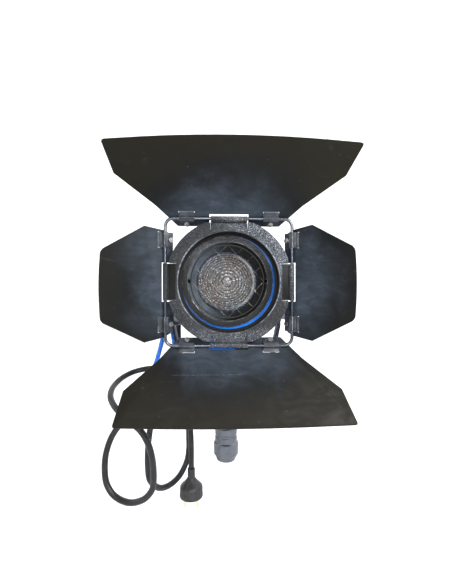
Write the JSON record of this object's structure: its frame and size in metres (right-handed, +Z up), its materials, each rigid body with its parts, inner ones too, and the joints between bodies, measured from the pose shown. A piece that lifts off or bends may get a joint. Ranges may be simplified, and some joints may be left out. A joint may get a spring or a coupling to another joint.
{
  "type": "fresnel spotlight",
  "caption": "Small film and stage fresnel spotlight on a yoke with a spigot socket, a four-leaf barndoor, focus screw, hinged lens door, looped mains cable and plug.",
  "frame": {"origin": "centre of the stand socket's mouth", "axes": "+Z up, +X to the right seen from the front, the beam leaves along -Y"},
  "size_m": [0.315, 0.2473, 0.5001],
  "materials": {
    "satin_steel": "satin, turned",
    "black_satin": "satin black paint, worn",
    "black_wrinkle": "black wrinkle paint",
    "blue_paint": "gloss blue paint",
    "grey_paint": "satin grey paint",
    "knob_plastic": "moulded, fine grain",
    "cable_rubber": "matt black rubber",
    "plug_metal": "bright plated",
    "blue_cord": "braided cord",
    "lens_glass": "stepped and pebbled",
    "lamp_glass": "clear quartz",
    "lamp_ceramic": "unglazed ceramic",
    "bare_aluminium": "bare sheet",
    "reflector_metal": "polished",
    "dark_wire": "dark wire"
  },
  "bodies": {
    "yoke": {"receiver": "satin_steel", "receiver_bolt": "black_satin", "yoke": "black_satin", "power_cable": "cable_rubber", "plug_body": "cable_rubber", "plug_pins": "plug_metal", "cable_sling": "blue_cord", "sling_knot": "blue_cord"},
    "receiver_screw": {"receiver_screw": "knob_plastic"},
    "head": {"housing": "grey_paint", "vent_cover": "blue_paint", "rear_casting": "blue_paint", "base_box": "blue_paint", "housing_screws": "satin_steel", "pivot_bosses": "satin_steel", "pivot_nut": "satin_steel", "gland_boss": "blue_paint", "cable_gland": "cable_rubber", "guide_rods": "satin_steel", "door_knuckles": "black_satin"},
    "tilt_knob": {"tilt_knob": "knob_plastic"},
    "focus_screw": {"focus_spindle": "satin_steel", "focus_knob_front": "knob_plastic", "focus_knob_rear": "knob_plastic"},
    "lamp_carriage": {"lamp_carriage": "bare_aluminium", "lamp_socket": "lamp_ceramic", "lamp": "lamp_glass", "reflector": "reflector_metal"},
    "lens_door": {"front_casting": "blue_paint", "lens_ring": "black_wrinkle", "lens": "lens_glass", "lens_clips": "satin_steel", "wire_guard": "dark_wire", "accessory_brackets": "black_wrinkle", "door_hinge": "black_satin", "latch_mount": "black_satin"},
    "accessory_latch": {"accessory_latch": "satin_steel"},
    "barndoor": {"barndoor_ring": "black_wrinkle", "barndoor_collar": "black_wrinkle", "wire_frame": "satin_steel"},
    "leaf_top": {"leaf_top": "black_satin", "leaf_top_clips": "black_satin", "leaf_top_screws": "satin_steel"},
    "leaf_bottom": {"leaf_bottom": "black_satin", "leaf_bottom_clips": "black_satin", "leaf_bottom_screws": "satin_steel"},
    "leaf_left": {"leaf_left": "black_satin", "leaf_left_clips": "black_satin", "leaf_left_screws": "satin_steel"},
    "leaf_right": {"leaf_right": "black_satin", "leaf_right_clips": "black_satin", "leaf_right_screws": "satin_steel"}
  },
  "joints": [
    {"name": "receiver_screw_turn", "type": "hinge", "parent": "yoke", "child": "receiver_screw", "pos_m": [0, 0.02, 0.017], "axis": [0, 1, 0], "continuous": true},
    {"name": "head_tilt", "type": "hinge", "parent": "yoke", "child": "head", "pos_m": [0, 0, 0.212], "axis": [1, 0, 0], "range_deg": [-60, 30], "deforming": ["power_cable"]},
    {"name": "tilt_knob_turn", "type": "hinge", "parent": "head", "child": "tilt_knob", "pos_m": [-0.085, 0, 0.212], "axis": [1, 0, 0], "continuous": true},
    {"name": "focus_turn", "type": "hinge", "parent": "head", "child": "focus_screw", "pos_m": [0.018, 0, 0.179], "axis": [0, 1, 0], "range_deg": [-1805, 1805]},
    {"name": "focus_slide", "type": "slide", "parent": "head", "child": "lamp_carriage", "axis": [0, 1, 0], "range_m": [-0.02, 0.02]},
    {"name": "lens_door_swing", "type": "hinge", "parent": "head", "child": "lens_door", "pos_m": [0.063, -0.0603, 0.257], "axis": [0, 0, 1], "range_deg": [0, 90]},
    {"name": "accessory_latch_lift", "type": "hinge", "parent": "lens_door", "child": "accessory_latch", "pos_m": [0, -0.077, 0.3255], "axis": [-1, 0, 0], "range_deg": [0, 18], "stiffness_Nm_per_rad": 0.2, "springref_deg": -11.46},
    {"name": "barndoor_turn", "type": "hinge", "parent": "lens_door", "child": "barndoor", "pos_m": [0, -0.1, 0.257], "axis": [0, 1, 0], "continuous": true},
    {"name": "leaf_top_swing", "type": "hinge", "parent": "barndoor", "child": "leaf_top", "pos_m": [0, -0.1005, 0.3322], "axis": [1, 0, 0], "range_deg": [-25, 85]},
    {"name": "leaf_bottom_swing", "type": "hinge", "parent": "barndoor", "child": "leaf_bottom", "pos_m": [0, -0.1005, 0.1818], "axis": [-1, 0, 0], "range_deg": [-15, 92]},
    {"name": "leaf_left_swing", "type": "hinge", "parent": "barndoor", "child": "leaf_left", "pos_m": [-0.0752, -0.1005, 0.257], "axis": [0, 0, 1], "range_deg": [-20, 120]},
    {"name": "leaf_right_swing", "type": "hinge", "parent": "barndoor", "child": "leaf_right", "pos_m": [0.0752, -0.1005, 0.257], "axis": [0, 0, -1], "range_deg": [-30, 110]}
  ],
  "couplings": [
    {"joint": "focus_turn", "follows": "focus_slide", "rad_per_m": 1570.8}
  ]
}
